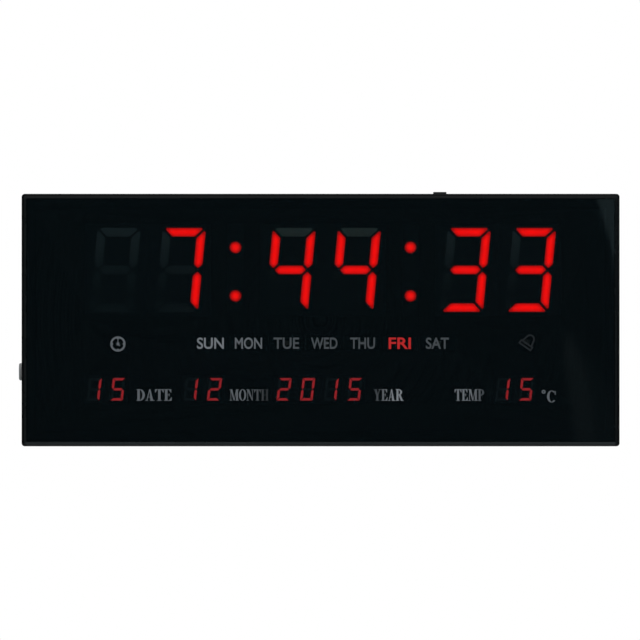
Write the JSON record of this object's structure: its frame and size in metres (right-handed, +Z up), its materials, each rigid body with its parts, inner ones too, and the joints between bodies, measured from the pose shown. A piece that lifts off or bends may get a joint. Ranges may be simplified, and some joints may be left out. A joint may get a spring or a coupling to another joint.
{
  "type": "digital wall clock",
  "caption": "Wide black digital wall clock with smoked panel, slanted red segment digits, weekday row, calendar and temperature digits, hung on keyholes.",
  "frame": {"origin": "middle of the flat rear face that lies on the wall", "axes": "+X to the reader's right along the width, +Y into the wall, +Z up"},
  "size_m": [0.3619, 0.028, 0.1533],
  "materials": {
    "frame_plastic": "black ABS, satin to semi-gloss",
    "smoked_acrylic": "dark smoked acrylic sheet, polished",
    "tape_foam": "black double-sided foam tape",
    "mask_ink": "black printed film",
    "cover_plastic": "black ABS with a fine moulded texture",
    "screw_steel": "black oxide steel screws",
    "cell_steel": "plain nickel-plated cell can",
    "contact_metal": "nickel-plated contacts and nut",
    "board_laminate": "green solder mask on glass-epoxy board",
    "module_plastic": "matt black display housings",
    "segment_resin": "milky diffusing resin, lit red where on",
    "lamp_resin": "clear and white lamp packages",
    "chip_epoxy": "black epoxy packages with tinned legs",
    "crystal_can": "drawn metal can",
    "capacitor_can": "plain aluminium cans",
    "sensor_epoxy": "black moulded sensor",
    "connector_nylon": "off-white nylon",
    "switch_plastic": "black switch bodies",
    "plunger_plastic": "black switch plungers",
    "button_plastic": "black ABS caps, slightly smoother on top",
    "speaker_paper": "black paper cone",
    "speaker_steel": "pressed steel basket",
    "speaker_ferrite": "ferrite magnet",
    "socket_plastic": "black socket body",
    "lead_insulation": "insulated hook-up wire"
  },
  "bodies": {
    "case": {"board_chips": "chip_epoxy", "board_screws": "screw_steel", "capacitors": "capacitor_can", "cell_contacts": "contact_metal", "coin_cell": "cell_steel", "colon_dots": "segment_resin", "colon_housings": "module_plastic", "connectors": "connector_nylon", "cover_screws": "screw_steel", "date_housing": "module_plastic", "date_segments": "segment_resin", "dc_socket": "socket_plastic", "dc_socket_contacts": "contact_metal", "dc_socket_nut": "contact_metal", "display_board": "board_laminate", "front_frame": "frame_plastic", "front_panel": "smoked_acrylic", "hour_ones_housing": "module_plastic", "hour_ones_segments": "segment_resin", "hour_tens_housing": "module_plastic", "hour_tens_segments": "segment_resin", "indicator_lamps": "lamp_resin", "lead_wires": "lead_insulation", "light_boxes": "module_plastic", "mask_film": "mask_ink", "minute_ones_housing": "module_plastic", "minute_ones_segments": "segment_resin", "minute_tens_housing": "module_plastic", "minute_tens_segments": "segment_resin", "month_housing": "module_plastic", "month_segments": "segment_resin", "panel_tape": "tape_foam", "quartz_crystal": "crystal_can", "rear_cover": "cover_plastic", "second_ones_housing": "module_plastic", "second_ones_segments": "segment_resin", "second_tens_housing": "module_plastic", "second_tens_segments": "segment_resin", "speaker_basket": "speaker_steel", "speaker_cone": "speaker_paper", "speaker_magnet": "speaker_ferrite", "switch_bodies": "switch_plastic", "temperature_housing": "module_plastic", "temperature_segments": "segment_resin", "temperature_sensor": "sensor_epoxy", "year_housing": "module_plastic", "year_segments": "segment_resin"},
    "set_key": {"set_button": "button_plastic", "set_plunger": "plunger_plastic"},
    "up_key": {"up_button": "button_plastic", "up_plunger": "plunger_plastic"},
    "down_key": {"down_button": "button_plastic", "down_plunger": "plunger_plastic"},
    "alarm_key": {"alarm_button": "button_plastic", "alarm_plunger": "plunger_plastic"},
    "top_key": {"top_button": "button_plastic", "top_plunger": "plunger_plastic"},
    "hatch": {"battery_hatch": "cover_plastic"}
  },
  "joints": [
    {"name": "set_press", "type": "slide", "parent": "case", "child": "set_key", "axis": [0, -1, 0], "range_m": [0, 0.0006], "stiffness_N_per_m": 1200},
    {"name": "up_press", "type": "slide", "parent": "case", "child": "up_key", "axis": [0, -1, 0], "range_m": [0, 0.0006], "stiffness_N_per_m": 1200},
    {"name": "down_press", "type": "slide", "parent": "case", "child": "down_key", "axis": [0, -1, 0], "range_m": [0, 0.0006], "stiffness_N_per_m": 1200},
    {"name": "alarm_press", "type": "slide", "parent": "case", "child": "alarm_key", "axis": [0, -1, 0], "range_m": [0, 0.0006], "stiffness_N_per_m": 1200},
    {"name": "top_press", "type": "slide", "parent": "case", "child": "top_key", "axis": [0, 0, -1], "range_m": [0, 0.0006], "stiffness_N_per_m": 1200},
    {"name": "hatch_hinge", "type": "hinge", "parent": "case", "child": "hatch", "pos_m": [0.0756, -0.0012, -0.00858], "axis": [1, 0, 0], "range_deg": [0, 90]}
  ]
}
